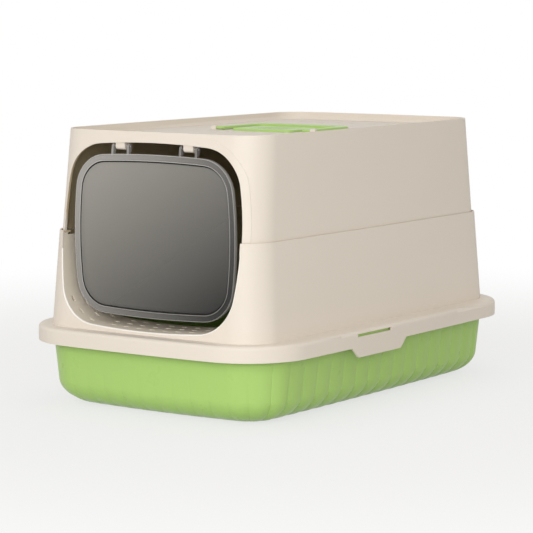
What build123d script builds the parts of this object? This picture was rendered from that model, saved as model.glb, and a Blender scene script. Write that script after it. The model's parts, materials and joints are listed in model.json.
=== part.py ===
from build123d import *
from math import cos, radians, sin
import os

# A hooded litter box for a large cat: a fluted pan, a two-part tapered hood with a recessed roof,
# a see-through swing door, a perforated entry step, a folding carry handle and a roof filter.
# Millimetres. X is across, the door faces -Y, Z is up. The origin is the centre of the footprint.

# ---- driving dimensions ----
HEIGHT = 350.0
FLANGE_HALF_X, FLANGE_HALF_Y, FLANGE_CORNER = 199.0, 307.5, 87.0
FLANGE_BOTTOM, FLANGE_TOP = 82.7, 103.0
FLANGE_ROUND = 5.0
BASE_BOW = (3.7, 7.5)
HOOD_BOW = (2.5, 3.7)
WALL = 2.6

# Outlines of the hood walls: height, half width, half length, corner radius.
RIM = (HEIGHT, 155.6, 263.2, 42.6)
UPPER_FOOT = (219.6, 160.1, 275.7, 42.7)
LOWER_TOP = (222.6, 162.7, 278.4, 42.7)
LOWER_FOOT = (FLANGE_TOP, 170.5, 286.5, 46.0)

# Roof
ROOF_TOP = 340.0
ROOF_UNDER = ROOF_TOP - WALL
ROOF_BEVEL = 4.0
ROOF_SLOT = (16.0, 4.6, 1.5)
ROOF_SLOT_PITCH = 28.3
ROOF_SLOT_ROWS = ((-192.0, 7), (-60.0, 7), (44.0, 3), (192.0, 7))

# Seam between the two hood shells
SEAM_LIP = 1.8
LEDGE_INSET = 8.8
SKIRT_GAP = 0.5
SKIRT_WALL = 2.0
SKIRT_BOTTOM = 207.0
# The skirt's sides stand upright, so that the hood lifts straight out of the ledge.
SKIRT_FOOT = (UPPER_FOOT[0] - 20,) + UPPER_FOOT[1:]
FOOT_RING = 2.4

# Doorway
DOORWAY_HALF_X, DOORWAY_HALF_Z, DOORWAY_CORNER = 136.1, 114.8, 53.0
DOORWAY_Z = ROOF_UNDER - DOORWAY_HALF_Z - 0.4
DOORWAY_BOW = (14.4, 7.1)
DOORWAY_CUT = -240.0
COLLAR_WIDTH, COLLAR_RISE = 8.5, 0.8

# Swing door
DOOR_HALF_X, DOOR_HALF_Z, DOOR_CORNER = 123.4, 101.1, 46.0
DOOR_Z = 221.5
DOOR_FRONT, DOOR_BACK = -264.0, -260.0
DOOR_BOW = (8.9, 4.5)
FRAME_WIDTH = 8.6
PANEL_GAP = 0.4
PANEL_THICK = 2.2
REBATE = 2.6
BACK_LIP = 4.4
BEAD_WIDTH, BEAD_RISE = 2.2, 0.9

# Door hinges
HINGE_X, HINGE_Y, HINGE_Z = 52.0, -258.0, 331.0
LUG_HALF, LUG_RADIUS = 7.0, 4.2
EAR_NEAR, EAR_FAR, EAR_RADIUS = 10.5, 13.5, 4.0
PIN_DIAMETER, PIN_HALF = 3.0, 14.5
RUNNING_GAP = 0.05

# Entry step
STEP_WALL = 2.4
STEP_BACK = -215.0
STEP_FLANGE = 8.0
STEP_LIP = 6.0
STEP_SLOT = (8.5, 4.0, 1.3)
STEP_PITCH = 20.0
STEP_ROWS = (-268.0, -248.0, -228.0)
STEP_TURNS = ((18, 39, 60), (28, 50))
STEP_REACH = 12.0

# Pan
TRAY_WALL, TRAY_FLOOR = 3.0, 3.2
TRAY_TOP = FLANGE_TOP - WALL
LIP_HALF_X, LIP_HALF_Y, LIP_CORNER = 193.2, 301.7, 81.0
LIP_THICK, LIP_TURN = 2.5, 8.0
CORNER_FLUTES, SHORT_FLUTES, LONG_FLUTES = 3, 9, 15
TRAY_HALF_X, TRAY_HALF_Y, TRAY_CORNER = 174.6, 281.1, 51.6
TRAY_BOW = (3.9, 8.3)
CHINE_RUN, CHINE_RISE = 49.0, 34.0
CHINE_TURNS = (0, 20, 40, 62, 90)
CHINE_TIGHTEN = 0.75
TRAY_FLARE = 6.9
MOUTH_CORNER = TRAY_CORNER + TRAY_FLARE
FLUTE_DEEPEST, FLUTE_SHALLOWEST = 2.4, 0.5
FRONT_FLUTE_SHARE = 0.5
FOOT_BAND, FOOT_RECESS, FOOT_CORNER = 16.0, 1.0, 24.0

# Drip lip of the lower hood, inside the pan's mouth
DRIP_GAP, DRIP_WALL, DRIP_DEPTH = 1.5, 2.0, 11.0
CEILING_LEDGE = 1.5

# Side latches: a pull tab on the flange, a slot over it and a tongue on the pan
TAB_BOTTOM, TAB_TOP_Y, TAB_BOTTOM_Y = 69.8, (-121.0, 6.0), (-106.0, -8.0)
SLOT_X, SLOT_Y, SLOT_Z = (195.0, 201.0), (-108.5, -30.5), (95.6, 99.2)
TONGUE_X, TONGUE_Y, TONGUE_Z = (192.0, 195.6), (-105.5, -33.5), (94.5, 98.9)

# Carry handle
HANDLE_HALF, HANDLE_REACH = 74.0, 106.0
ARM_WIDTH, GRIP_WIDTH = 12.0, 22.0
HANDLE_BOTTOM, HANDLE_TOP = 340.7, 344.3
HANDLE_CORNER = 24.0
HANDLE_BEVEL = 0.9
PIVOT_Y, PIVOT_Z = -28.0, 342.5
STUB_DIAMETER, STUB_LENGTH = 3.0, 7.5
BOSS_GAP, BOSS_WIDTH, BOSS_RADIUS = 0.4, 8.0, 2.9
PAD_X, PAD_Y, PAD_SIZE = 34.0, 67.0, (22.0, 10.0)

# Roof filter
FILTER_Y = -2.7
CAP_SIZE, CAP_CORNER, CAP_TOP, CAP_WALL = (94.0, 69.6), 10.0, 342.8, 1.8
CAP_BEVEL = 0.8
BASKET_SIZE, BASKET_CORNER, BASKET_WALL = (80.0, 54.0), 7.0, 1.6
BASKET_FLANGE, BASKET_FLANGE_THICK = 4.0, 1.0
BASKET_BOTTOM = 328.0
FILTER_GAP = 0.4
PAD_TOP = 335.6
CAP_VENT, BASKET_VENT, VENT_PITCH = (54.0, 4.0, 1.3), (60.0, 4.6, 1.5), 9.5


# ---- outlines ----
def outline(half_x, half_y, corner, bow):
    """A rectangle with gently bowed sides and rounded corners."""
    x = half_x - bow[0]
    y = half_y - bow[1]
    sides = [
        ThreePointArc((-x, -y), (0, -half_y), (x, -y)),
        ThreePointArc((x, -y), (half_x, 0), (x, y)),
        ThreePointArc((x, y), (0, half_y), (-x, y)),
        ThreePointArc((-x, y), (-half_x, 0), (-x, -y)),
    ]
    return fillet(make_face(sides).vertices(), corner)


def level_at(low, high, z):
    """The wall's outline at height z, on the straight taper from low to high."""
    share = (z - low[0]) / (high[0] - low[0])
    return (z,) + tuple(a + (b - a) * share for a, b in zip(low[1:], high[1:]))


def wall_block(low, high, bottom, top, inset=0.0, extra_y=0.0):
    """Everything inside a tapered wall, between two heights."""
    sections = []
    for height in (bottom, top):
        z, half_x, half_y, corner = level_at(low, high, height)
        face = outline(half_x - inset, half_y - inset + extra_y, corner - inset, HOOD_BOW)
        sections.append(Pos(0, 0, z) * face)
    return loft(sections, ruled=True)


def slab(half_x, half_y, corner, bow, bottom, top):
    return Pos(0, 0, bottom) * extrude(outline(half_x, half_y, corner, bow), top - bottom)


def upright(face, front, back, z):
    """A prism of an outline drawn in X and Z, from the plane y=front to y=back."""
    return Pos(0, back, z) * Rot(90, 0, 0) * extrude(face, back - front)


def block(x, y, z):
    """A box from three (low, high) pairs."""
    middle = [(low + high) / 2 for low, high in (x, y, z)]
    size = [high - low for low, high in (x, y, z)]
    return Pos(*middle) * Box(*size)


def mirrored(shape):
    return [shape, mirror(shape, about=Plane.YZ)]


def slot_face(length, width, cut):
    """A slot with cut corners."""
    return chamfer(Rectangle(length, width).vertices(), cut)


def rod(diameter, x_low, x_high, y, z):
    """A round bar along X."""
    return Pos((x_low + x_high) / 2, y, z) * Rot(0, 90, 0) * Cylinder(diameter / 2, x_high - x_low)


def doorway(grow, front, back):
    face = outline(DOORWAY_HALF_X + grow, DOORWAY_HALF_Z + grow, DOORWAY_CORNER + grow, DOORWAY_BOW)
    return upright(face, front, back, DOORWAY_Z)


def door_prism(inset, front, back):
    face = outline(DOOR_HALF_X - inset, DOOR_HALF_Z - inset, DOOR_CORNER - inset, DOOR_BOW)
    return upright(face, front, back, DOOR_Z)


# ---- pan ----
def flute_stations(half_x, half_y, corner):
    """Points round a rounded rectangle, half a flute apart, with their outward directions."""
    reach_x = half_x - corner
    reach_y = half_y - corner
    centres = [(reach_x, reach_y), (-reach_x, reach_y), (-reach_x, -reach_y), (reach_x, -reach_y)]
    counts = [SHORT_FLUTES, LONG_FLUTES, SHORT_FLUTES, LONG_FLUTES]
    stations = []
    for index, (x, y) in enumerate(centres):
        for step in range(2 * CORNER_FLUTES):
            angle = radians(90 * index + 45 * step / CORNER_FLUTES)
            away = (cos(angle), sin(angle))
            stations.append((x + corner * away[0], y + corner * away[1], away))
        away = (round(cos(radians(90 * index + 90))), round(sin(radians(90 * index + 90))))
        next_x, next_y = centres[(index + 1) % 4]
        for step in range(2 * counts[index]):
            share = step / (2 * counts[index])
            side_x = x + (next_x - x) * share + corner * away[0]
            side_y = y + (next_y - y) * share + corner * away[1]
            stations.append((side_x, side_y, away))
    return stations


def fluted_section(z, half_x, half_y, corner, depth):
    """A bowed outline made of shallow convex flutes that meet in creases."""
    points = []
    stations = flute_stations(half_x - TRAY_BOW[0], half_y - TRAY_BOW[1], corner)
    for index, (x, y, away) in enumerate(stations):
        share = FRONT_FLUTE_SHARE + (1 - FRONT_FLUTE_SHARE) * away[0] ** 2
        inward = depth * share if index % 2 == 0 else 0.0
        bow_x = TRAY_BOW[0] * (1 - (y / half_y) ** 2) * x / half_x
        bow_y = TRAY_BOW[1] * (1 - (x / half_x) ** 2) * y / half_y
        points.append((x + bow_x - inward * away[0], y + bow_y - inward * away[1]))
    arcs = []
    for index in range(0, len(points), 2):
        end = points[(index + 2) % len(points)]
        arcs.append(ThreePointArc(points[index], points[index + 1], end))
    return Pos(0, 0, z) * make_face(arcs)


def chine_levels(wall, floor, inset):
    """Outlines up the rounded chine: height, half width, half length, corner, flute depth."""
    levels = []
    for turn in CHINE_TURNS:
        z = floor + (CHINE_RISE - floor) * (1 - cos(radians(turn)))
        pull = inset + (CHINE_RUN - wall) * (1 - sin(radians(turn)))
        corner = TRAY_CORNER - CHINE_TIGHTEN * pull
        depth = FLUTE_SHALLOWEST + (FLUTE_DEEPEST - FLUTE_SHALLOWEST) * sin(radians(min(90, 2.2 * turn)))
        levels.append((z, TRAY_HALF_X - pull, TRAY_HALF_Y - pull, corner, depth))
    return levels


def make_tray():
    chine = chine_levels(0.0, 0.0, 0.0)
    brim_half = (TRAY_HALF_X + TRAY_FLARE, TRAY_HALF_Y + TRAY_FLARE)
    brim = (TRAY_TOP, *brim_half, MOUTH_CORNER, FLUTE_SHALLOWEST)
    outside = loft([fluted_section(*level) for level in (*chine, brim)], ruled=True)
    hollow = chine_levels(TRAY_WALL, TRAY_FLOOR, TRAY_WALL + FLUTE_DEEPEST)
    sections = [Pos(0, 0, z) * outline(x, y, corner, TRAY_BOW) for z, x, y, corner, _ in hollow]
    mouth = outline(brim_half[0] - TRAY_WALL, brim_half[1] - TRAY_WALL, MOUTH_CORNER, TRAY_BOW)
    inside = loft([*sections, Pos(0, 0, TRAY_TOP) * mouth], ruled=True)
    lip = slab(LIP_HALF_X, LIP_HALF_Y, LIP_CORNER, BASE_BOW, TRAY_TOP - LIP_THICK, TRAY_TOP)
    turn = slab(LIP_HALF_X, LIP_HALF_Y, LIP_CORNER, BASE_BOW, TRAY_TOP - LIP_TURN, TRAY_TOP)
    turn -= slab(LIP_HALF_X - 2, LIP_HALF_Y - 2, LIP_CORNER - 2, BASE_BOW, TRAY_TOP - LIP_TURN, TRAY_TOP)
    foot_x = TRAY_HALF_X - CHINE_RUN - FOOT_BAND
    foot_y = TRAY_HALF_Y - CHINE_RUN - FOOT_BAND
    recess = slab(foot_x, foot_y, FOOT_CORNER, BASE_BOW, 0, FOOT_RECESS)
    tray = outside + lip + turn - inside - recess
    for tongue in mirrored(block(TONGUE_X, TONGUE_Y, TONGUE_Z)):
        tray += tongue
    return tray


# ---- lower hood ----
def lower_cabin():
    return wall_block(LOWER_FOOT, LOWER_TOP, FLANGE_TOP, LOWER_TOP[0] + 1, inset=WALL)


def make_flange():
    """A cap over the pan's lip, with a rounded shoulder and a pull tab low on each side."""
    outside = slab(FLANGE_HALF_X, FLANGE_HALF_Y, FLANGE_CORNER, BASE_BOW, TAB_BOTTOM, FLANGE_TOP)
    outside = fillet(outside.edges().group_by(Axis.Z)[-1], FLANGE_ROUND)
    inside = slab(
        FLANGE_HALF_X - WALL, FLANGE_HALF_Y - WALL, FLANGE_CORNER - WALL, BASE_BOW, TAB_BOTTOM, TRAY_TOP
    )
    inside = chamfer(inside.edges().group_by(Axis.Z)[-1], FLANGE_ROUND - WALL)
    tab = make_face(Polyline(
        (TAB_TOP_Y[0], FLANGE_BOTTOM), (TAB_BOTTOM_Y[0], TAB_BOTTOM), (TAB_BOTTOM_Y[1], TAB_BOTTOM),
        (TAB_TOP_Y[1], FLANGE_BOTTOM), close=True,
    ))
    corners = tab.vertices().sort_by(Axis.Y)[:2]
    tab = fillet(corners, 3.0)
    band = block((-250, 250), (-350, 350), (FLANGE_BOTTOM, FLANGE_TOP))
    band += Plane.YZ.offset(-250) * extrude(tab, 500)
    return (outside - inside) & band


def make_lower_hood():
    mouth_x = TRAY_HALF_X + TRAY_FLARE - TRAY_WALL - DRIP_GAP
    mouth_y = TRAY_HALF_Y + TRAY_FLARE - TRAY_WALL - DRIP_GAP
    drip_bottom = FLANGE_TOP - DRIP_DEPTH
    drip = slab(mouth_x, mouth_y, MOUTH_CORNER, TRAY_BOW, drip_bottom, FLANGE_TOP - WALL / 2)
    inner = (mouth_x - DRIP_WALL, mouth_y - DRIP_WALL, MOUTH_CORNER - DRIP_WALL)
    drip -= slab(*inner, TRAY_BOW, drip_bottom, FLANGE_TOP)
    hole_x = LOWER_FOOT[1] - WALL - CEILING_LEDGE
    hole_y = mouth_y - DRIP_WALL - CEILING_LEDGE
    hole = slab(hole_x, hole_y, MOUTH_CORNER - DRIP_WALL, TRAY_BOW, drip_bottom, FLANGE_TOP + 1)
    wall = wall_block(LOWER_FOOT, LOWER_TOP, FLANGE_TOP - WALL / 2, LOWER_TOP[0])
    hood = make_flange() + wall - lower_cabin() - hole + drip
    ledge_top = UPPER_FOOT[0]
    ledge = wall_block(LOWER_FOOT, LOWER_TOP, ledge_top - WALL, ledge_top, inset=WALL / 2)
    ledge -= wall_block(LOWER_FOOT, LOWER_TOP, ledge_top - WALL, ledge_top, inset=LEDGE_INSET)
    lip_half = (LOWER_TOP[1] - SEAM_LIP, LOWER_TOP[2] - SEAM_LIP, LOWER_TOP[3] - SEAM_LIP)
    hood += ledge
    hood -= slab(*lip_half, HOOD_BOW, ledge_top, LOWER_TOP[0] + 1)
    hood -= doorway(0, -330, DOORWAY_CUT)
    for slot in mirrored(block(SLOT_X, SLOT_Y, SLOT_Z)):
        hood -= slot
    return hood


# ---- entry step ----
def step_slots():
    """Slots across the floor and up the two curved corners."""
    slot = extrude(slot_face(*STEP_SLOT), STEP_REACH, both=True)
    sill = outline(DOORWAY_HALF_X, DOORWAY_HALF_Z, DOORWAY_CORNER, DOORWAY_BOW)
    bends = [edge for edge in sill.edges() if abs(edge.radius - DOORWAY_CORNER) < 0.01]
    bend = bends[0].arc_center
    corner_x = abs(bend.X)
    corner_z = DOORWAY_Z - abs(bend.Y)
    floor_z = DOORWAY_Z - DOORWAY_HALF_Z
    tools = []
    for row, y in enumerate(STEP_ROWS):
        offset = STEP_PITCH / 2 if row % 2 else 0
        for column in range(-4, 5):
            x = column * STEP_PITCH + offset
            if abs(x) < corner_x + 1:
                tools.append(Pos(x, y, floor_z) * slot)
        for side in (-1, 1):
            for turn in STEP_TURNS[row % 2]:
                pivot = Pos(side * corner_x, y, corner_z)
                tools.append(pivot * Rot(0, -side * turn, 0) * Pos(0, 0, -DOORWAY_CORNER) * slot)
    return tools


def make_entry_step():
    channel = doorway(STEP_WALL, -300, STEP_BACK) - doorway(0, -300, STEP_BACK)
    room = lower_cabin()
    flange = doorway(STEP_FLANGE, -300, STEP_BACK) - doorway(0, -300, STEP_BACK)
    flange -= Pos(0, 2.0, 0) * room
    lip = doorway(STEP_LIP, STEP_BACK - 2, STEP_BACK) - doorway(0, STEP_BACK - 2, STEP_BACK)
    below = block((-200, 200), (-320, -200), (FLANGE_TOP + 0.2, UPPER_FOOT[0] - WALL))
    step = (channel + flange + lip) & room & below
    for tool in step_slots():
        step -= tool
    return step


# ---- upper hood ----
def roof_slots():
    slot = extrude(slot_face(*ROOF_SLOT), 10, both=True)
    tools = []
    for y, count in ROOF_SLOT_ROWS:
        for column in range(count):
            x = (column - (count - 1) / 2) * ROOF_SLOT_PITCH
            tools.append(Pos(x, y, ROOF_TOP) * slot)
    return tools


def hinge_lug():
    """A block under the roof's front edge that carries one door hinge."""
    depth = (HINGE_Y - LUG_RADIUS, HINGE_Y + LUG_RADIUS)
    lug = block((-LUG_HALF, LUG_HALF), depth, (HINGE_Z, ROOF_UNDER + 0.5))
    lug += rod(2 * LUG_RADIUS, -LUG_HALF, LUG_HALF, HINGE_Y, HINGE_Z)
    lug -= rod(PIN_DIAMETER + 2 * RUNNING_GAP, -LUG_HALF - 1, LUG_HALF + 1, HINGE_Y, HINGE_Z)
    return Pos(HINGE_X, 0, 0) * lug


def handle_boss():
    """An upright cheek on the roof with the bore for one handle stub."""
    near = HANDLE_HALF + BOSS_GAP
    far = near + BOSS_WIDTH
    depth = (PIVOT_Y - BOSS_RADIUS, PIVOT_Y + BOSS_RADIUS)
    boss = block((near, far), depth, (ROOF_TOP - 0.5, PIVOT_Z))
    boss += rod(2 * BOSS_RADIUS, near, far, PIVOT_Y, PIVOT_Z)
    boss -= rod(STUB_DIAMETER + 2 * RUNNING_GAP, near - 1, far + 1, PIVOT_Y, PIVOT_Z)
    return boss


def make_upper_hood():
    shell = wall_block(UPPER_FOOT, RIM, UPPER_FOOT[0], HEIGHT)
    cabin = wall_block(UPPER_FOOT, RIM, UPPER_FOOT[0] + FOOT_RING, ROOF_UNDER, inset=WALL)
    cabin = chamfer(cabin.edges().group_by(Axis.Z)[-1], ROOF_BEVEL)
    recess = wall_block(UPPER_FOOT, RIM, ROOF_TOP, HEIGHT + 1, inset=WALL)
    recess = chamfer(recess.edges().group_by(Axis.Z)[0], ROOF_BEVEL)
    collar = wall_block(UPPER_FOOT, RIM, UPPER_FOOT[0] + 3, HEIGHT - 1, extra_y=COLLAR_RISE)
    collar &= doorway(COLLAR_WIDTH, -320, DOORWAY_CUT)
    hood = shell + collar - doorway(0, -330, DOORWAY_CUT) - cabin - recess
    skirt_out = LEDGE_INSET - (LOWER_TOP[1] - UPPER_FOOT[1]) + SKIRT_GAP
    skirt_top = UPPER_FOOT[0] + FOOT_RING / 2
    skirt = wall_block(UPPER_FOOT, SKIRT_FOOT, SKIRT_BOTTOM, skirt_top, inset=skirt_out)
    skirt_in = skirt_out + SKIRT_WALL
    mouth_top = UPPER_FOOT[0] + FOOT_RING + 1
    mouth = wall_block(UPPER_FOOT, SKIRT_FOOT, SKIRT_BOTTOM - 1, mouth_top, inset=skirt_in)
    gap_half = DOORWAY_HALF_X + STEP_FLANGE + 2
    skirt_gap = block((-gap_half, gap_half), (-330, DOORWAY_CUT), (SKIRT_BOTTOM - 1, mouth_top))
    hood = hood - mouth + (skirt - mouth - skirt_gap)
    for tool in roof_slots():
        hood -= tool
    hole_size = [side + 0.8 for side in BASKET_SIZE]
    hood -= Pos(0, FILTER_Y, ROOF_TOP) * extrude(RectangleRounded(*hole_size, BASKET_CORNER), 10, both=True)
    for lug in mirrored(hinge_lug()):
        hood += lug
    for boss in mirrored(handle_boss()):
        hood += boss
    pad_x = (PAD_X - PAD_SIZE[0] / 2, PAD_X + PAD_SIZE[0] / 2)
    pad_y = (PAD_Y - PAD_SIZE[1] / 2, PAD_Y + PAD_SIZE[1] / 2)
    for pad in mirrored(block(pad_x, pad_y, (ROOF_TOP - 1, HANDLE_BOTTOM))):
        hood += pad
    return hood


# ---- door ----
def hinge_ear(near, far):
    """One cheek of a door hinge, from the frame's top edge to the pin."""
    profile = make_face(Polyline(
        (DOOR_FRONT, DOOR_Z + DOOR_HALF_Z - 6), (DOOR_BACK, DOOR_Z + DOOR_HALF_Z - 6),
        (HINGE_Y + EAR_RADIUS, HINGE_Z), (HINGE_Y - EAR_RADIUS, HINGE_Z), close=True,
    ))
    profile += Pos(HINGE_Y, HINGE_Z) * Circle(EAR_RADIUS)
    profile -= Pos(HINGE_Y, HINGE_Z) * Circle(PIN_DIAMETER / 2)
    return Plane.YZ.offset(near) * extrude(profile, far - near)


def make_door_frame():
    frame = door_prism(0, DOOR_FRONT, DOOR_BACK)
    bead_front = DOOR_FRONT - BEAD_RISE
    frame += door_prism(0, bead_front, DOOR_FRONT) - door_prism(BEAD_WIDTH, bead_front, DOOR_FRONT)
    frame += door_prism(FRAME_WIDTH - BEAD_WIDTH, bead_front, DOOR_FRONT)
    frame -= door_prism(FRAME_WIDTH, DOOR_FRONT - 2, DOOR_FRONT + REBATE)
    frame -= door_prism(FRAME_WIDTH + BACK_LIP, DOOR_FRONT - 2, DOOR_BACK + 1)
    for near, far in ((-EAR_FAR, -EAR_NEAR), (EAR_NEAR, EAR_FAR)):
        for ear in mirrored(hinge_ear(HINGE_X + near, HINGE_X + far)):
            frame += ear
    return frame


def make_door_panel():
    back = DOOR_FRONT + REBATE
    panel = door_prism(FRAME_WIDTH + PANEL_GAP, back - PANEL_THICK, back)
    return chamfer(panel.edges().group_by(Axis.Y)[0], 0.4)


def make_hinge_pin(side):
    pin = rod(PIN_DIAMETER, -PIN_HALF, PIN_HALF, HINGE_Y, HINGE_Z)
    pin = chamfer(pin.edges(), 0.4)
    return Pos(side * HINGE_X, 0, 0) * pin


# ---- handle ----
def make_handle():
    """A flat U-shaped bail with a wide grip, and a stub on each arm."""
    outer = Pos(0, PIVOT_Y + HANDLE_REACH / 2) * Rectangle(2 * HANDLE_HALF, HANDLE_REACH)
    outer = fillet(outer.vertices().sort_by(Axis.Y)[-2:], HANDLE_CORNER)
    gap_half = HANDLE_HALF - ARM_WIDTH
    gap_length = HANDLE_REACH - GRIP_WIDTH
    gap = Pos(0, PIVOT_Y + gap_length / 2) * Rectangle(2 * gap_half, gap_length)
    gap = fillet(gap.vertices().sort_by(Axis.Y)[-2:], HANDLE_CORNER - ARM_WIDTH)
    bail = Pos(0, 0, HANDLE_BOTTOM) * extrude(outer - gap, HANDLE_TOP - HANDLE_BOTTOM)
    rims = [edge for edge in bail.faces().sort_by(Axis.Z)[-1].edges() if edge.center().Y > PIVOT_Y + 1]
    bail = chamfer(rims, HANDLE_BEVEL)
    for knuckle in mirrored(rod(HANDLE_TOP - HANDLE_BOTTOM, gap_half, HANDLE_HALF, PIVOT_Y, PIVOT_Z)):
        bail += knuckle
    for stub in mirrored(rod(STUB_DIAMETER, HANDLE_HALF - 4, HANDLE_HALF + STUB_LENGTH, PIVOT_Y, PIVOT_Z)):
        bail += stub
    return bail


# ---- filter ----
def filter_prism(size, corner, bottom, top):
    return Pos(0, FILTER_Y, bottom) * extrude(RectangleRounded(*size, corner), top - bottom)


def grown(size, amount):
    return [side + 2 * amount for side in size]


def make_filter_cap():
    cap = filter_prism(CAP_SIZE, CAP_CORNER, ROOF_TOP, CAP_TOP)
    cap = chamfer(cap.edges().group_by(Axis.Z)[-1], CAP_BEVEL)
    flange_top = ROOF_TOP + BASKET_FLANGE_THICK
    cap -= filter_prism(grown(CAP_SIZE, -CAP_WALL), CAP_CORNER - CAP_WALL, ROOF_TOP, flange_top + FILTER_GAP)
    ring_out = grown(BASKET_SIZE, -BASKET_WALL - FILTER_GAP)
    ring_in = grown(ring_out, -1.6)
    ring_bottom = PAD_TOP + FILTER_GAP
    cap += filter_prism(ring_out, 6.0, ring_bottom, flange_top + 1)
    cap -= filter_prism(ring_in, 4.4, ring_bottom, flange_top + FILTER_GAP)
    vent = extrude(slot_face(*CAP_VENT), 10, both=True)
    for step in range(-2, 3):
        cap -= Pos(0, FILTER_Y + VENT_PITCH * step, CAP_TOP) * vent
    return cap


def make_filter_basket():
    flange_top = ROOF_TOP + BASKET_FLANGE_THICK
    basket = filter_prism(BASKET_SIZE, BASKET_CORNER, BASKET_BOTTOM, flange_top)
    flange_size = grown(BASKET_SIZE, BASKET_FLANGE)
    basket += filter_prism(flange_size, BASKET_CORNER + BASKET_FLANGE, ROOF_TOP, flange_top)
    inside = grown(BASKET_SIZE, -BASKET_WALL)
    basket -= filter_prism(inside, BASKET_CORNER - BASKET_WALL, BASKET_BOTTOM + BASKET_WALL, flange_top)
    vent = extrude(slot_face(*BASKET_VENT), 4, both=True)
    for step in range(-2, 3):
        basket -= Pos(0, FILTER_Y + VENT_PITCH * step, BASKET_BOTTOM) * vent
    return basket


def make_carbon_pad():
    size = grown(BASKET_SIZE, -BASKET_WALL - FILTER_GAP)
    pad = filter_prism(size, BASKET_CORNER - BASKET_WALL - FILTER_GAP, BASKET_BOTTOM + BASKET_WALL, PAD_TOP)
    return chamfer(pad.edges().group_by(Axis.Z)[-1], 0.8)


NODES = {
    "litter_tray": make_tray,
    "lower_hood": make_lower_hood,
    "entry_step": make_entry_step,
    "upper_hood": make_upper_hood,
    "door_frame": make_door_frame,
    "door_panel": make_door_panel,
    "hinge_pin_left": lambda: make_hinge_pin(-1),
    "hinge_pin_right": lambda: make_hinge_pin(1),
    "carry_handle": make_handle,
    "filter_cap": make_filter_cap,
    "filter_basket": make_filter_basket,
    "carbon_pad": make_carbon_pad,
}

os.makedirs("parts", exist_ok=True)
for name, make in NODES.items():
    export_step(make(), f"parts/{name}.step")
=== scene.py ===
import json
import math

import bmesh
import bpy
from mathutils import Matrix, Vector


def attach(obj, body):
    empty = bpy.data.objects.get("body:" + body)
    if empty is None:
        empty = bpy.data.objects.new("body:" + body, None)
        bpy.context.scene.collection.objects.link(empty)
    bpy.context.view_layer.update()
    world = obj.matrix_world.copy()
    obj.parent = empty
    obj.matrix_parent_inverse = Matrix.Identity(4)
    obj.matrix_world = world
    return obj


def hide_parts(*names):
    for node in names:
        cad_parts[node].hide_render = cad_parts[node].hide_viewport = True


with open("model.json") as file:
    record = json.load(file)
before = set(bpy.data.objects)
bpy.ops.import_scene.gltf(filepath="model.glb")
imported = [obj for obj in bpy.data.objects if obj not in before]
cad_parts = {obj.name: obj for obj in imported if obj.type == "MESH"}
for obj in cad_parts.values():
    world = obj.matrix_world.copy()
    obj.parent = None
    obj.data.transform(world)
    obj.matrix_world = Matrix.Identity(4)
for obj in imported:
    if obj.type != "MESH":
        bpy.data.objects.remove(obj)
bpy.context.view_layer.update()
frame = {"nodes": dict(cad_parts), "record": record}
nodes = frame["nodes"]
record = frame["record"]
BODY_OF = {node: body for body, members in record["behaviour"]["bodies"].items() for node in members}
MM = 0.001

# ---- camera: the photograph's viewpoint, in metres and degrees ----
CAMERA_PLACE = (1.6971, -2.4709, 0.5126)
CAMERA_YAW, CAMERA_PITCH = 34.71, 6.71
PHOTO_WIDTH = 533
FOCAL_PIXELS = 2284.9
SENSOR = 36.0

# ---- colours, linear ----
CREAM = (0.78, 0.71, 0.63)
# Painted highlight: a paler cream for the doorway's rounded rim.
CREAM_EDGE_HIGHLIGHT = (0.93, 0.90, 0.84)
# Painted shade: a darker brown copy of the cream for the cabin's inside.
CREAM_INSIDE_SHADE = (0.63, 0.51, 0.33)
# Painted light: a lighter copy of the cream for the entry step.
STEP_CREAM_LIT = (0.85, 0.77, 0.65)
GREEN = (0.425, 0.640, 0.190)
FRAME_GREY = (0.33, 0.315, 0.30)
# Painted highlight: a lighter grey for the frame's beads.
BEAD_HIGHLIGHT_GREY = (0.46, 0.45, 0.435)
# Painted shadow: near black for the gap between the sheet and its frame.
GAP_SHADOW_DARK = (0.012, 0.012, 0.010)
SMOKE = (0.17, 0.164, 0.150)
STEEL = (0.62, 0.62, 0.63)
CARBON = (0.02, 0.02, 0.02)
WHITE = (1, 1, 1, 1)

# ---- lamps: place, aim, size, power ----
KEY_LAMP = ((0.6, -3.4, 1.2), (0, 0, 0.15), 1.8, 32)
FILL_LAMP = ((1.75, -2.6, 0.75), (0, 0, 0.15), 0.9, 23)
TOP_LAMP = ((0.3, 0.2, 3.2), (0, 0, 0.2), 2.4, 5)
SKY = (1.0, 0.965, 0.90)
SKY_STRENGTH = 0.57

# ---- floor: its colour, and where it fades to white, in metres from the object's middle ----
FLOOR = (0.74, 0.74, 0.74)
FLOOR_SIZE = 40
FLOOR_GLOW = 0.7
FADE_START, FADE_END = 0.45, 1.5


# ---- shader helpers ----
def new_material(name):
    material = bpy.data.materials.new(name)
    material.use_nodes = True
    tree = material.node_tree
    shader = tree.nodes["Principled BSDF"]
    return material, tree, shader


def link(tree, source, output, target, inlet):
    tree.links.new(source.outputs[output], target.inputs[inlet])


def noise(tree, scale, detail=3.0, roughness=0.5, stretch=(1, 1, 1)):
    place = tree.nodes.new("ShaderNodeTexCoord")
    mapping = tree.nodes.new("ShaderNodeMapping")
    mapping.inputs["Scale"].default_value = stretch
    texture = tree.nodes.new("ShaderNodeTexNoise")
    texture.inputs["Scale"].default_value = scale
    texture.inputs["Detail"].default_value = detail
    texture.inputs["Roughness"].default_value = roughness
    link(tree, place, "Object", mapping, "Vector")
    link(tree, mapping, "Vector", texture, "Vector")
    return texture


def spread(tree, source, output, low, high, reach=(0.3, 0.7)):
    """Maps part of a value's range onto low..high; the reach set here suits a noise."""
    ramp = tree.nodes.new("ShaderNodeMapRange")
    ramp.inputs["From Min"].default_value = reach[0]
    ramp.inputs["From Max"].default_value = reach[1]
    ramp.inputs["To Min"].default_value = low
    ramp.inputs["To Max"].default_value = high
    link(tree, source, output, ramp, "Value")
    return ramp


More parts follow.
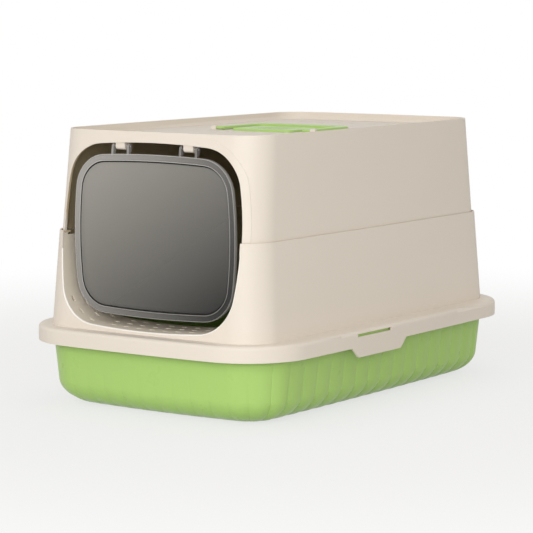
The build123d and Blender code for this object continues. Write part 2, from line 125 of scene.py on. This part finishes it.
def two_tone(tree, share, first, second, shader):
    """Colours a material between two tones."""
    tint = tree.nodes.new("ShaderNodeMix")
    tint.data_type = "RGBA"
    tint.inputs["A"].default_value = (*first, 1)
    tint.inputs["B"].default_value = (*second, 1)
    link(tree, share, "Result", tint, "Factor")
    link(tree, tint, "Result", shader, "Base Color")


def scaled(colour, factor):
    return tuple(min(1.0, channel * factor) for channel in colour)


# ---- materials ----
COLOUR_DRIFT, GLOSS_DRIFT = 0.012, 0.03
GRAIN_SCALE, GRAIN_DEPTH, GRAIN_STRENGTH = 1400.0, 0.00003, 0.35
CELL_SCALE, CELL_DEPTH = 420.0, 0.0008


def moulded_plastic(name, colour, roughness, sheen_level=0.5):
    """Injection-moulded plastic: a fine spark-eroded grain, slight flow clouds and uneven gloss."""
    material, tree, shader = new_material(name)
    clouds = spread(tree, noise(tree, 3.0, 2.0, 0.4, (1, 1, 1.6)), "Fac", 0.0, 1.0)
    two_tone(tree, clouds, scaled(colour, 1 - COLOUR_DRIFT), scaled(colour, 1 + COLOUR_DRIFT), shader)
    gloss = spread(tree, noise(tree, 38.0), "Fac", roughness - GLOSS_DRIFT, roughness + GLOSS_DRIFT)
    link(tree, gloss, "Result", shader, "Roughness")
    grain = tree.nodes.new("ShaderNodeBump")
    grain.inputs["Strength"].default_value = GRAIN_STRENGTH
    grain.inputs["Distance"].default_value = GRAIN_DEPTH
    link(tree, noise(tree, GRAIN_SCALE, 2.0), "Fac", grain, "Height")
    link(tree, grain, "Normal", shader, "Normal")
    shader.inputs["IOR"].default_value = 1.49
    shader.inputs["Specular IOR Level"].default_value = sheen_level
    return material


def clear_plastic(name, colour, alpha, roughness, low, high, slope, reach):
    """A tinted sheet with a painted reflection that grows along a slope across it, from low to high."""
    material, tree, shader = new_material(name)
    place = tree.nodes.new("ShaderNodeTexCoord")
    along = tree.nodes.new("ShaderNodeVectorMath")
    along.operation = "DOT_PRODUCT"
    along.inputs[1].default_value = slope
    link(tree, place, "Object", along, 0)
    # The painted reflection's share along the slope.
    painted_reflection = spread(tree, along, "Value", 0.0, 1.0, reach)
    two_tone(tree, painted_reflection, scaled(colour, low), scaled(colour, high), shader)
    gloss = spread(tree, noise(tree, 24.0, 4.0), "Fac", roughness * 0.8, roughness * 1.2)
    link(tree, gloss, "Result", shader, "Roughness")
    shader.inputs["Alpha"].default_value = alpha
    shader.inputs["IOR"].default_value = 1.5
    return material


def steel(name):
    """Drawn wire, streaked along X."""
    material, tree, shader = new_material(name)
    streaks = noise(tree, 300.0, 2.0, 0.5, (0.05, 1, 1))
    share = spread(tree, streaks, "Fac", 0.0, 1.0)
    two_tone(tree, share, scaled(STEEL, 0.9), STEEL, shader)
    shader.inputs["Metallic"].default_value = 1.0
    gloss = spread(tree, streaks, "Fac", 0.22, 0.36)
    link(tree, gloss, "Result", shader, "Roughness")
    return material


def foam(name):
    """Open foam: mottled, matt and full of small cells."""
    material, tree, shader = new_material(name)
    mottle = spread(tree, noise(tree, 180.0), "Fac", 0.0, 1.0)
    two_tone(tree, mottle, scaled(CARBON, 0.6), scaled(CARBON, 1.6), shader)
    shader.inputs["Roughness"].default_value = 0.95
    cells = tree.nodes.new("ShaderNodeTexVoronoi")
    cells.inputs["Scale"].default_value = CELL_SCALE
    bump = tree.nodes.new("ShaderNodeBump")
    bump.inputs["Distance"].default_value = CELL_DEPTH
    link(tree, cells, "Distance", bump, "Height")
    link(tree, bump, "Normal", shader, "Normal")
    return material


# The door's painted reflection is palest at its top left and fades out towards its bottom right.
SHEET_REFLECTION = ((-0.55, 0, 0.84), (0.055, 0.325))
FRAME_REFLECTION = ((-0.95, 0, 0.62), (-0.01, 0.29))

GREEN_PLASTIC = moulded_plastic("green_tray", GREEN, 0.30, 0.15)
GREEN_HANDLE = moulded_plastic("green_handle", GREEN, 0.34, 0.35)
CREAM_PLASTIC = moulded_plastic("cream_hood", CREAM, 0.48, 0.4)
CREAM_RIM_HIGHLIGHT = moulded_plastic("cream_rim_painted_highlight", CREAM_EDGE_HIGHLIGHT, 0.40)
CREAM_INNER_SHADE = moulded_plastic("cream_inner_painted_shade", CREAM_INSIDE_SHADE, 0.50)
CREAM_STEP_LIT = moulded_plastic("cream_step_painted_light", STEP_CREAM_LIT, 0.45)
DOOR_CLEAR = clear_plastic("clear_frame", FRAME_GREY, 0.84, 0.14, 0.05, 1.22, *FRAME_REFLECTION)
DOOR_BEAD_HIGHLIGHT = clear_plastic("clear_bead_painted_highlight", BEAD_HIGHLIGHT_GREY, 0.92, 0.10, 0.50, 1.10, *SHEET_REFLECTION)
DOOR_GAP_SHADOW = moulded_plastic("gap_shadow", GAP_SHADOW_DARK, 0.80)
DOOR_SMOKE = clear_plastic("smoked_panel", SMOKE, 0.74, 0.10, 0.03, 2.38, *SHEET_REFLECTION)
PIN_STEEL = steel("pin_steel")
CARBON_FOAM = foam("carbon")

# ---- mesh helpers, in metres and degrees ----
WELD = 1e-6
FLAT_WITHIN = 0.3
SMOOTH_BELOW = 32
SOFT_ABOVE = 35


def add_piece(name, data, node, materials):
    """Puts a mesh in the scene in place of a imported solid, on that solid's body."""
    for material in materials:
        data.materials.append(material)
    piece = bpy.data.objects.new(name, data)
    bpy.context.scene.collection.objects.link(piece)
    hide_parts(node)
    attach(piece, BODY_OF[node])
    return piece


def add_bevel(piece, name, width, segments, limit):
    bevel = piece.modifiers.new(name, "BEVEL")
    bevel.width = width
    bevel.segments = segments
    bevel.limit_method = limit
    bevel.harden_normals = True
    return bevel


def smooth_by_angle(solid, limit):
    """Shades every face smooth and keeps the edges sharp that turn by the limit or more."""
    for face in solid.faces:
        face.smooth = True
    for edge in solid.edges:
        edge.smooth = len(edge.link_faces) == 2 and edge.calc_face_angle() < math.radians(limit)


def to_data(solid, name, smooth_below):
    bmesh.ops.recalc_face_normals(solid, faces=solid.faces)
    smooth_by_angle(solid, smooth_below)
    data = bpy.data.meshes.new(name)
    solid.to_mesh(data)
    solid.free()
    return data


def welded_copy(node):
    """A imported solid's mesh with its faces welded and its flat faces joined."""
    data = nodes[node].data.copy()
    data.materials.clear()
    for name in ("custom_normal", "sharp_face"):
        if name in data.attributes:
            data.attributes.remove(data.attributes[name])
    solid = bmesh.new()
    solid.from_mesh(data)
    bmesh.ops.remove_doubles(solid, verts=solid.verts, dist=WELD)
    bmesh.ops.dissolve_limit(
        solid, angle_limit=math.radians(FLAT_WITHIN), verts=solid.verts, edges=solid.edges, delimit={"NORMAL"}
    )
    return data, solid


def mould(node, width, materials, sort_face=None, edge_weight=None, edge_width=0.0):
    """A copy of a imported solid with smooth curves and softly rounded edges."""
    data, solid = welded_copy(node)
    smooth_by_angle(solid, SMOOTH_BELOW)
    # The sorter picks each face's material; on the hoods it puts the painted shade on the inner walls.
    if sort_face:
        for face in solid.faces:
            face.material_index = sort_face(face)
    if edge_weight:
        layer = solid.edges.layers.float.new("bevel_weight_edge")
        for edge in solid.edges:
            if not edge.smooth:
                edge[layer] = edge_weight(edge)
    solid.to_mesh(data)
    solid.free()
    piece = add_piece("moulded_" + node, data, node, materials)
    if edge_weight:
        rim = add_bevel(piece, "rounded_rim", edge_width, 4, "WEIGHT")
        # The rounded rim takes the last material; on the hoods that is a painted highlight.
        rim.material = len(materials) - 1
    soft = add_bevel(piece, "soft_edges", width, 2, "ANGLE")
    soft.angle_limit = math.radians(SOFT_ABOVE)


# ---- outlines, in millimetres ----
OUTLINE_STEPS = 10


def bowed_outline(half_x, half_y, corner, bow):
    """Points and outward directions round a rectangle with arched sides and rounded corners."""
    side_radius = ((half_y - bow[1]) ** 2 + bow[0] ** 2) / (2 * bow[0])
    end_radius = ((half_x - bow[0]) ** 2 + bow[1] ** 2) / (2 * bow[1])
    side_centre = Vector((half_x - side_radius, 0))
    end_centre = Vector((0, half_y - end_radius))
    # The corner's centre is a known distance from the centre of each arch.
    span = (end_centre - side_centre).length
    near, far = side_radius - corner, end_radius - corner
    along = (span ** 2 + near ** 2 - far ** 2) / (2 * span)
    aside = math.sqrt(near ** 2 - along ** 2)
    line = (end_centre - side_centre) / span
    centre = side_centre + along * line + aside * Vector((-line.y, line.x))
    if centre.x < 0 or centre.y < 0:
        centre = side_centre + along * line - aside * Vector((-line.y, line.x))
    start = math.atan2(centre.y, centre.x - side_centre.x)
    end = math.atan2(centre.y - end_centre.y, centre.x)
    quarter = []
    for step in range(OUTLINE_STEPS):
        quarter.append((side_centre, side_radius, start * step / OUTLINE_STEPS))
    for step in range(OUTLINE_STEPS + 1):
        quarter.append((centre, corner, start + (end - start) * step / OUTLINE_STEPS))
    for step in range(1, OUTLINE_STEPS):
        quarter.append((end_centre, end_radius, end + (math.pi / 2 - end) * step / OUTLINE_STEPS))
    points = []
    for base, radius, turn in quarter:
        away = Vector((math.cos(turn), math.sin(turn)))
        points.append((base + radius * away, away))
    top = [(Vector((0, half_y)), Vector((0, 1)))]
    mirrored = [(Vector((-p.x, p.y)), Vector((-a.x, a.y))) for p, a in reversed(points[1:])]
    left = [(Vector((-half_x, 0)), Vector((-1, 0)))]
    upper = points + top + mirrored + left
    lower = [(Vector((p.x, -p.y)), Vector((a.x, -a.y))) for p, a in reversed(upper[1:-1])]
    return upper + lower


def bridge(solid, rings, closed, material_of=None):
    """Quads between neighbouring rings of the same count."""
    count = len(rings[0])
    pairs = list(zip(rings, rings[1:]))
    if closed:
        pairs.append((rings[-1], rings[0]))
    for level, (low, high) in enumerate(pairs):
        for index in range(count):
            after = (index + 1) % count
            face = solid.faces.new((low[index], low[after], high[after], high[index]))
            if material_of:
                face.material_index = material_of(level)


# ---- pan, in millimetres ----
TRAY_HALF = (174.6, 281.1)
TRAY_CORNER, TRAY_BOW = 51.6, (3.9, 8.3)
LIP_HALF, LIP_CORNER, LIP_BOW = (193.2, 301.7), 81.0, (3.7, 7.5)
LIP_UNDER, LIP_BOTTOM = 97.9, 92.4
CHINE_RUN, CHINE_RISE, CHINE_TIGHTEN = 49.0, 34.0, 0.75
CHINE_STEPS, WALL_STEPS = 14, 8
TRAY_TOP, TRAY_FLARE, TRAY_WALL, TRAY_FLOOR = 100.4, 6.9, 3.0, 3.2
INNER_DRAFT, INNER_CHINE_STEPS, INNER_WALL_STEPS = 2.4, 10, 4
# The shallow recess inside the band that the pan stands on.
RECESS_INSET, RECESS_CORNER, RECESS_DEPTH, RECESS_EASE = 16.0, 24.0, 1.0, (0.4, 0.3)
# Over the rolled lip: growth past the lip's outline, and height.
LIP_PROFILE = (
    (-2.0, LIP_UNDER), (-2.0, LIP_BOTTOM + 0.5), (-1.5, LIP_BOTTOM), (-0.5, LIP_BOTTOM),
    (0.0, LIP_BOTTOM + 0.5), (0.0, TRAY_TOP - 1.0), (-0.3, TRAY_TOP - 0.3), (-1.0, TRAY_TOP),
)
# Over the mouth's inner edge: inset from the pan's outside, and height.
MOUTH_PROFILE = (
    (TRAY_WALL - 0.9, TRAY_TOP), (TRAY_WALL - 0.25, TRAY_TOP - 0.25), (TRAY_WALL, TRAY_TOP - 0.9),
)
CORNER_FLUTES, SHORT_FLUTES, LONG_FLUTES = 3, 9, 15
# Places across one flute, closer together at its creases.
FLUTE_STEPS = (0.0, 0.03, 0.10, 0.22, 0.36, 0.5, 0.64, 0.78, 0.90, 0.97)
# A fine groove along each crease, as a share of the flute depth.
CREASE_SHARE = 0.25
# Depth of the flutes: the least, and what the swell at the chine adds.
SIDE_LEAST, SIDE_SWELL = 0.4, 3.4
END_LEAST, END_SWELL = 0.3, 1.2
# The swell's wave up the chine, the share of it that the sides keep above, and their depth at the lip.
SWELL_RATE, SWELL_START, SWELL_KEPT = 1.9, 0.12, 0.35
SIDE_AT_LIP = 0.5
TONGUE = ((192.0, 195.6), (-107.5, -31.5), (94.5, 98.9))
TONGUE_EASE = 0.8
PAN_SMOOTH_BELOW = 10


def pan_ring(solid, z, half, corner, bow, side_flute, end_flute):
    """One level of the fluted pan; flutes are deeper on the sides than on the ends."""
    reach_x = half[0] - bow[0] - corner
    reach_y = half[1] - bow[1] - corner
    ring = []

    def place(x, y, away, across):
        depth = end_flute + (side_flute - end_flute) * away[0] ** 2
        inward = depth * ((2 * across - 1) ** 2 + (CREASE_SHARE if across == 0 else 0))
        bowed_x = x + bow[0] * (1 - (y / half[1]) ** 2) * x / half[0] - inward * away[0]
        bowed_y = y + bow[1] * (1 - (x / half[0]) ** 2) * y / half[1] - inward * away[1]
        ring.append(solid.verts.new((bowed_x * MM, bowed_y * MM, z * MM)))

    centres = [(reach_x, reach_y), (-reach_x, reach_y), (-reach_x, -reach_y), (reach_x, -reach_y)]
    for quarter, (x, y) in enumerate(centres):
        for flute in range(CORNER_FLUTES):
            for across in FLUTE_STEPS:
                turn = math.radians(90 * (quarter + (flute + across) / CORNER_FLUTES))
                away = (math.cos(turn), math.sin(turn))
                place(x + corner * away[0], y + corner * away[1], away, across)
        turn = math.radians(90 * (quarter + 1))
        away = (round(math.cos(turn)), round(math.sin(turn)))
        next_x, next_y = centres[(quarter + 1) % 4]
        count = LONG_FLUTES if quarter % 2 else SHORT_FLUTES
        for flute in range(count):
            for across in FLUTE_STEPS:
                share = (flute + across) / count
                side_x = x + (next_x - x) * share + corner * away[0]
                side_y = y + (next_y - y) * share + corner * away[1]
                place(side_x, side_y, away, across)
    return ring


def wall_half(inset, rise):
    """Half sizes of the pan's wall, set in from its outside, at a share of its height."""
    flare = TRAY_FLARE * rise
    return (TRAY_HALF[0] + flare - inset, TRAY_HALF[1] + flare - inset)


def chine_level(pull):
    """Half sizes and corner of the pan where the chine has drawn it in."""
    return (TRAY_HALF[0] - pull, TRAY_HALF[1] - pull), TRAY_CORNER - CHINE_TIGHTEN * pull


def pan_levels():
    """The pan's profile from the foot up the outside, over the lip and down the inside."""
    levels = []

    def level(z, half, corner, side=0.0, end=0.0, bow=TRAY_BOW):
        levels.append((z, half, corner, bow, side, end))

    recess = (TRAY_HALF[0] - CHINE_RUN - RECESS_INSET, TRAY_HALF[1] - CHINE_RUN - RECESS_INSET)
    for z, grow in ((RECESS_DEPTH, 0.0), (RECESS_EASE[1], 0.0), (0.0, RECESS_EASE[0])):
        level(z, (recess[0] + grow, recess[1] + grow), RECESS_CORNER, bow=LIP_BOW)
    for step in range(CHINE_STEPS + 1):
        turn = math.radians(90 * step / CHINE_STEPS)
        swell = math.sin(min(math.pi, SWELL_RATE * turn + SWELL_START))
        side = SIDE_LEAST + SIDE_SWELL * max(swell, SWELL_KEPT * math.sin(turn))
        end = END_LEAST + END_SWELL * swell ** 2
        level(CHINE_RISE * (1 - math.cos(turn)), *chine_level(CHINE_RUN * (1 - math.sin(turn))), side, end)
    chine_side, chine_end = side, end
    for step in range(1, WALL_STEPS + 1):
        rise = step / WALL_STEPS
        z = CHINE_RISE + (LIP_UNDER - CHINE_RISE) * rise
        share = (z - CHINE_RISE) / (TRAY_TOP - CHINE_RISE)
        side = chine_side + (SIDE_AT_LIP - chine_side) * rise
        end = chine_end * (1 - rise) ** 2
        level(z, wall_half(0, share), TRAY_CORNER + TRAY_FLARE * share, side, end)
    for grow, z in LIP_PROFILE:
        level(z, (LIP_HALF[0] + grow, LIP_HALF[1] + grow), LIP_CORNER + grow, bow=LIP_BOW)
    mouth_corner = TRAY_CORNER + TRAY_FLARE
    for inset, z in MOUTH_PROFILE:
        level(z, wall_half(inset, 1), mouth_corner)
    inner = TRAY_WALL + INNER_DRAFT
    for step in range(1, INNER_WALL_STEPS):
        drop = step / INNER_WALL_STEPS
        z = TRAY_TOP - (TRAY_TOP - CHINE_RISE) * drop
        inset = TRAY_WALL + (inner - TRAY_WALL) * drop
        corner = mouth_corner + (TRAY_CORNER - CHINE_TIGHTEN * inner - mouth_corner) * drop
        level(z, wall_half(inset, 1 - drop), corner)
    for step in range(INNER_CHINE_STEPS, -1, -1):
        turn = math.radians(90 * step / INNER_CHINE_STEPS)
        pull = inner + (CHINE_RUN - TRAY_WALL) * (1 - math.sin(turn))
        level(TRAY_FLOOR + (CHINE_RISE - TRAY_FLOOR) * (1 - math.cos(turn)), *chine_level(pull))
    return levels


def add_tongue(solid, side):
    """The block that shows green in the slot over a pull tab."""
    (x_low, x_high), (y_low, y_high), (z_low, z_high) = TONGUE
    size = Vector((x_high - x_low, y_high - y_low, z_high - z_low)) * MM
    middle = Vector((side * (x_low + x_high) / 2, (y_low + y_high) / 2, (z_low + z_high) / 2)) * MM
    made = bmesh.ops.create_cube(solid, size=1.0)["verts"]
    bmesh.ops.scale(solid, verts=made, vec=size)
    bmesh.ops.translate(solid, verts=made, vec=middle)
    edges = {edge for vert in made for edge in vert.link_edges}
    bmesh.ops.bevel(solid, geom=list(edges), offset=TONGUE_EASE * MM, segments=3, affect="EDGES")


def make_pan():
    solid = bmesh.new()
    rings = [pan_ring(solid, *level) for level in pan_levels()]
    bridge(solid, rings, closed=False)
    for ring in (rings[0], rings[-1]):
        solid.faces.new(ring)
    for side in (-1, 1):
        add_tongue(solid, side)
    data = to_data(solid, "fluted_pan", PAN_SMOOTH_BELOW)
    add_piece("fluted_pan", data, "litter_tray", [GREEN_PLASTIC])


# ---- door, in millimetres ----
DOOR_HALF, DOOR_CORNER, DOOR_BOW, DOOR_MIDDLE = (123.4, 101.1), 46.0, (8.9, 4.5), 221.5
DOOR_FRONT, DOOR_BACK = -264.0, -260.0
# The frame's section: how far in from its outer edge, and how deep; a bead runs along both edges.
FRAME_PROFILE = (
    (0.35, -260.0), (0.0, -260.35), (0.0, -264.35), (0.12, -264.7), (0.40, -264.9), (0.80, -264.9),
    (1.10, -264.7), (1.30, -264.3), (1.60, -264.05), (2.1, -264.0), (6.5, -264.0), (6.95, -264.05),
    (7.2, -264.3), (7.4, -264.7), (7.7, -264.9), (8.1, -264.9), (8.45, -264.7), (8.6, -264.3),
    (8.6, -261.6), (8.8, -261.4), (12.8, -261.4), (13.0, -261.2), (13.0, -260.2), (12.8, -260.0),
)
# The stretches of that section that are bead, coloured with a painted highlight, and those beside the sheet's
# edge, coloured with a painted shadow.
FRAME_BEADS = {1, 2, 3, 4, 5, 13, 14, 15}
FRAME_SHADOWED = {17, 18, 19}
FRAME_SMOOTH_BELOW = 40
HINGE = (52.0, -258.0, 331.0)
EAR_SPAN, EAR_RADIUS, EAR_ROOT = (10.5, 13.5), 4.0, 6.0
EAR_STEPS, EAR_EASE = 12, 0.5
# The sheet is a little shorter than its rebate.
SHEET_FRONT, SHEET_BACK = -263.6, -261.4
SHEET_INSET, SHEET_SHORT, SHEET_CHAMFER = 9.0, 1.1, 0.4
SHEET_PROFILE = (
    (SHEET_INSET + SHEET_CHAMFER, SHEET_FRONT),
    (SHEET_INSET, SHEET_FRONT + SHEET_CHAMFER),
    (SHEET_INSET, SHEET_BACK),
)
SHEET_SMOOTH_BELOW = 30


def door_rings(solid, profile):
    """Rings round the door's outline, set in from it and placed in depth by a profile."""
    outline = bowed_outline(*DOOR_HALF, DOOR_CORNER, DOOR_BOW)
    rings = []
    for inset, depth in profile:
        ring = []
        for point, away in outline:
            spot = point - inset * away
            ring.append(solid.verts.new((spot.x * MM, depth * MM, (DOOR_MIDDLE + spot.y) * MM)))
        rings.append(ring)
    return rings


def frame_material(level):
    """Which of the frame's materials a stretch of its section has."""
    if level in FRAME_BEADS:
        return 1
    return 2 if level in FRAME_SHADOWED else 0


def add_ear(solid, near, far):
    """One rounded cheek of a door hinge, with its edges eased."""
    root = DOOR_MIDDLE + DOOR_HALF[1] - EAR_ROOT
    profile = [(DOOR_FRONT, root), (DOOR_BACK, root)]
    for step in range(EAR_STEPS + 1):
        turn = math.pi * step / EAR_STEPS
        profile.append((HINGE[1] + EAR_RADIUS * math.cos(turn), HINGE[2] + EAR_RADIUS * math.sin(turn)))
    sides = []
    for x in (near, far):
        sides.append([solid.verts.new((x * MM, y * MM, z * MM)) for y, z in profile])
    made = [solid.faces.new(sides[0]), solid.faces.new(list(reversed(sides[1])))]
    count = len(profile)
    for index in range(count):
        after = (index + 1) % count
        solid.faces.new((sides[0][after], sides[0][index], sides[1][index], sides[1][after]))
    edges = {edge for face in made for edge in face.edges}
    bevel = bmesh.ops.bevel(solid, geom=list(edges), offset=EAR_EASE * MM, segments=2, affect="EDGES")
    # The eased edges take the bead's painted highlight.
    for face in bevel["faces"]:
        face.material_index = 1


def make_door_frame():
    solid = bmesh.new()
    bridge(solid, door_rings(solid, FRAME_PROFILE), closed=True, material_of=frame_material)
    low, high = EAR_SPAN
    for side in (-1, 1):
        for near in (-high, low):
            start = side * HINGE[0] + near
            add_ear(solid, start, start + high - low)
    data = to_data(solid, "door_rim", FRAME_SMOOTH_BELOW)
    add_piece("door_rim", data, "door_frame", [DOOR_CLEAR, DOOR_BEAD_HIGHLIGHT, DOOR_GAP_SHADOW])


def make_door_panel():
    solid = bmesh.new()
    rings = door_rings(solid, SHEET_PROFILE)
    middle = DOOR_MIDDLE * MM
    squash = (DOOR_HALF[1] - SHEET_INSET - SHEET_SHORT) / (DOOR_HALF[1] - SHEET_INSET)
    for vert in solid.verts:
        vert.co.z = middle + (vert.co.z - middle) * squash
    bridge(solid, rings, closed=False)
    for ring in (rings[0], rings[-1]):
        solid.faces.new(ring)
    data = to_data(solid, "door_sheet", SHEET_SMOOTH_BELOW)
    add_piece("door_sheet", data, "door_panel", [DOOR_SMOKE])


# ---- hood shells, in metres ----
FLANGE_TOP, CEILING_LOW, CABIN_TOP = 0.1045, 0.33, 0.3379
# The cabin's width over its length, roughly, which weighs the side walls and the ends alike.
CABIN_RATIO = 0.57
INWARD = -0.05
DOORWAY_HALF, DOORWAY_LOW, DOORWAY_HIGH = 0.1375, 0.106, 0.3385
JAMB_BACK, RIM_BACK = -0.265, -0.245
LEDGE_BAND = (0.2165, 0.2228)


def inner_wall_shade(face):
    """One for the faces that look into the cabin, which get the painted shade, zero for the rest."""
    centre, normal = face.calc_center_median(), face.normal
    if not FLANGE_TOP <= centre.z <= CABIN_TOP:
        return 0
    if centre.y < JAMB_BACK and abs(centre.x) < DOORWAY_HALF and normal.y < 0.7:
        return 0
    if centre.z > CEILING_LOW and normal.z < -0.7:
        return 1
    return 1 if normal.x * centre.x + normal.y * centre.y * CABIN_RATIO < INWARD else 0


def doorway_edge(edge):
    """Weight of the rounding that carries the painted highlight: full along the doorway's outer edge, none
    elsewhere.
    """
    middle = (edge.verts[0].co + edge.verts[1].co) / 2
    inside = abs(middle.x) < DOORWAY_HALF and DOORWAY_LOW < middle.z < DOORWAY_HIGH and middle.y < RIM_BACK
    if not inside or LEDGE_BAND[0] < middle.z < LEDGE_BAND[1]:
        return 0.0
    fronts = [face for face in edge.link_faces if face.normal.y < -0.9]
    return 1.0 if len(fronts) == 1 else 0.0


# ---- dressing: how far the edges are rounded, in metres ----
HOOD_ROUNDING, DOORWAY_ROUNDING = 0.0006, 0.0020
HANDLE_ROUNDING, CAP_ROUNDING, BASKET_ROUNDING = 0.0005, 0.0004, 0.0003
# The hoods' inner walls get a painted shade, and the rounded doorway rim a painted highlight.
HOOD_MATERIALS = [CREAM_PLASTIC, CREAM_INNER_SHADE, CREAM_RIM_HIGHLIGHT]
PLAIN = {
    "hinge_pin_left": PIN_STEEL,
    "hinge_pin_right": PIN_STEEL,
    "carbon_pad": CARBON_FOAM,
}
for node, material in PLAIN.items():
    nodes[node].data.materials.clear()
    nodes[node].data.materials.append(material)

make_pan()
make_door_frame()
make_door_panel()
for node in ("lower_hood", "upper_hood"):
    mould(node, HOOD_ROUNDING, HOOD_MATERIALS, inner_wall_shade, doorway_edge, DOORWAY_ROUNDING)
mould("entry_step", HOOD_ROUNDING, [CREAM_STEP_LIT])
mould("carry_handle", HANDLE_ROUNDING, [GREEN_HANDLE])
mould("filter_cap", CAP_ROUNDING, [GREEN_HANDLE])
mould("filter_basket", BASKET_ROUNDING, [CREAM_PLASTIC])


# ---- stage ----
def seen_rays(tree):
    """One for camera, glossy and transmission rays, zero for the rays that carry light."""
    path = tree.nodes.new("ShaderNodeLightPath")
    total = (path, "Is Camera Ray")
    for output in ("Is Glossy Ray", "Is Transmission Ray"):
        most = tree.nodes.new("ShaderNodeMath")
        most.operation = "MAXIMUM"
        link(tree, *total, most, 0)
        link(tree, path, output, most, 1)
        total = (most, "Value")
    return total


def make_floor():
    """Pale paper that keeps the object's shadow and fades to white away from it."""
    bpy.ops.mesh.primitive_plane_add(size=FLOOR_SIZE)
    floor = bpy.context.object
    floor.name = "floor"
    material, tree, shader = new_material("floor_paper")
    shader.inputs["Base Color"].default_value = (*FLOOR, 1)
    shader.inputs["Roughness"].default_value = 0.9
    place = tree.nodes.new("ShaderNodeTexCoord")
    away = tree.nodes.new("ShaderNodeVectorMath")
    away.operation = "LENGTH"
    link(tree, place, "Object", away, 0)
    fade = spread(tree, away, "Value", FLOOR_GLOW, 1.0, (FADE_START, FADE_END))
    fade.interpolation_type = "SMOOTHSTEP"
    glow = tree.nodes.new("ShaderNodeEmission")
    glow.inputs["Color"].default_value = WHITE
    share = tree.nodes.new("ShaderNodeMath")
    share.operation = "MULTIPLY"
    link(tree, *seen_rays(tree), share, 0)
    link(tree, fade, "Result", share, 1)
    blend = tree.nodes.new("ShaderNodeMixShader")
    link(tree, share, "Value", blend, "Fac")
    link(tree, shader, "BSDF", blend, 1)
    link(tree, glow, "Emission", blend, 2)
    link(tree, blend, "Shader", tree.nodes["Material Output"], "Surface")
    floor.data.materials.append(material)


def make_world():
    """Warm light from all round, behind a white that only seen rays meet."""
    world = bpy.data.worlds.new("studio")
    bpy.context.scene.world = world
    world.use_nodes = True
    tree = world.node_tree
    background = tree.nodes["Background"]
    background.inputs["Color"].default_value = (*SKY, 1)
    background.inputs["Strength"].default_value = SKY_STRENGTH
    white = tree.nodes.new("ShaderNodeBackground")
    white.inputs["Color"].default_value = WHITE
    blend = tree.nodes.new("ShaderNodeMixShader")
    link(tree, *seen_rays(tree), blend, "Fac")
    link(tree, background, "Background", blend, 1)
    link(tree, white, "Background", blend, 2)
    link(tree, blend, "Shader", tree.nodes["World Output"], "Surface")


def soft_lamp(name, place, aim, size, power):
    data = bpy.data.lights.new(name, "AREA")
    data.shape = "DISK"
    data.size = size
    data.energy = power
    lamp = bpy.data.objects.new(name, data)
    lamp.location = place
    lamp.rotation_euler = (Vector(aim) - Vector(place)).to_track_quat("-Z", "Y").to_euler()
    bpy.context.scene.collection.objects.link(lamp)


def make_camera():
    data = bpy.data.cameras.new("photo_view")
    data.sensor_width = SENSOR
    data.lens = SENSOR * FOCAL_PIXELS / PHOTO_WIDTH
    camera = bpy.data.objects.new("photo_view", data)
    camera.location = CAMERA_PLACE
    camera.rotation_euler = (math.radians(90 - CAMERA_PITCH), 0, math.radians(CAMERA_YAW))
    bpy.context.scene.collection.objects.link(camera)
    bpy.context.scene.camera = camera


make_floor()
make_world()
soft_lamp("key", *KEY_LAMP)
soft_lamp("fill", *FILL_LAMP)
soft_lamp("top", *TOP_LAMP)
make_camera()
bpy.context.scene.view_settings.view_transform = "Standard"
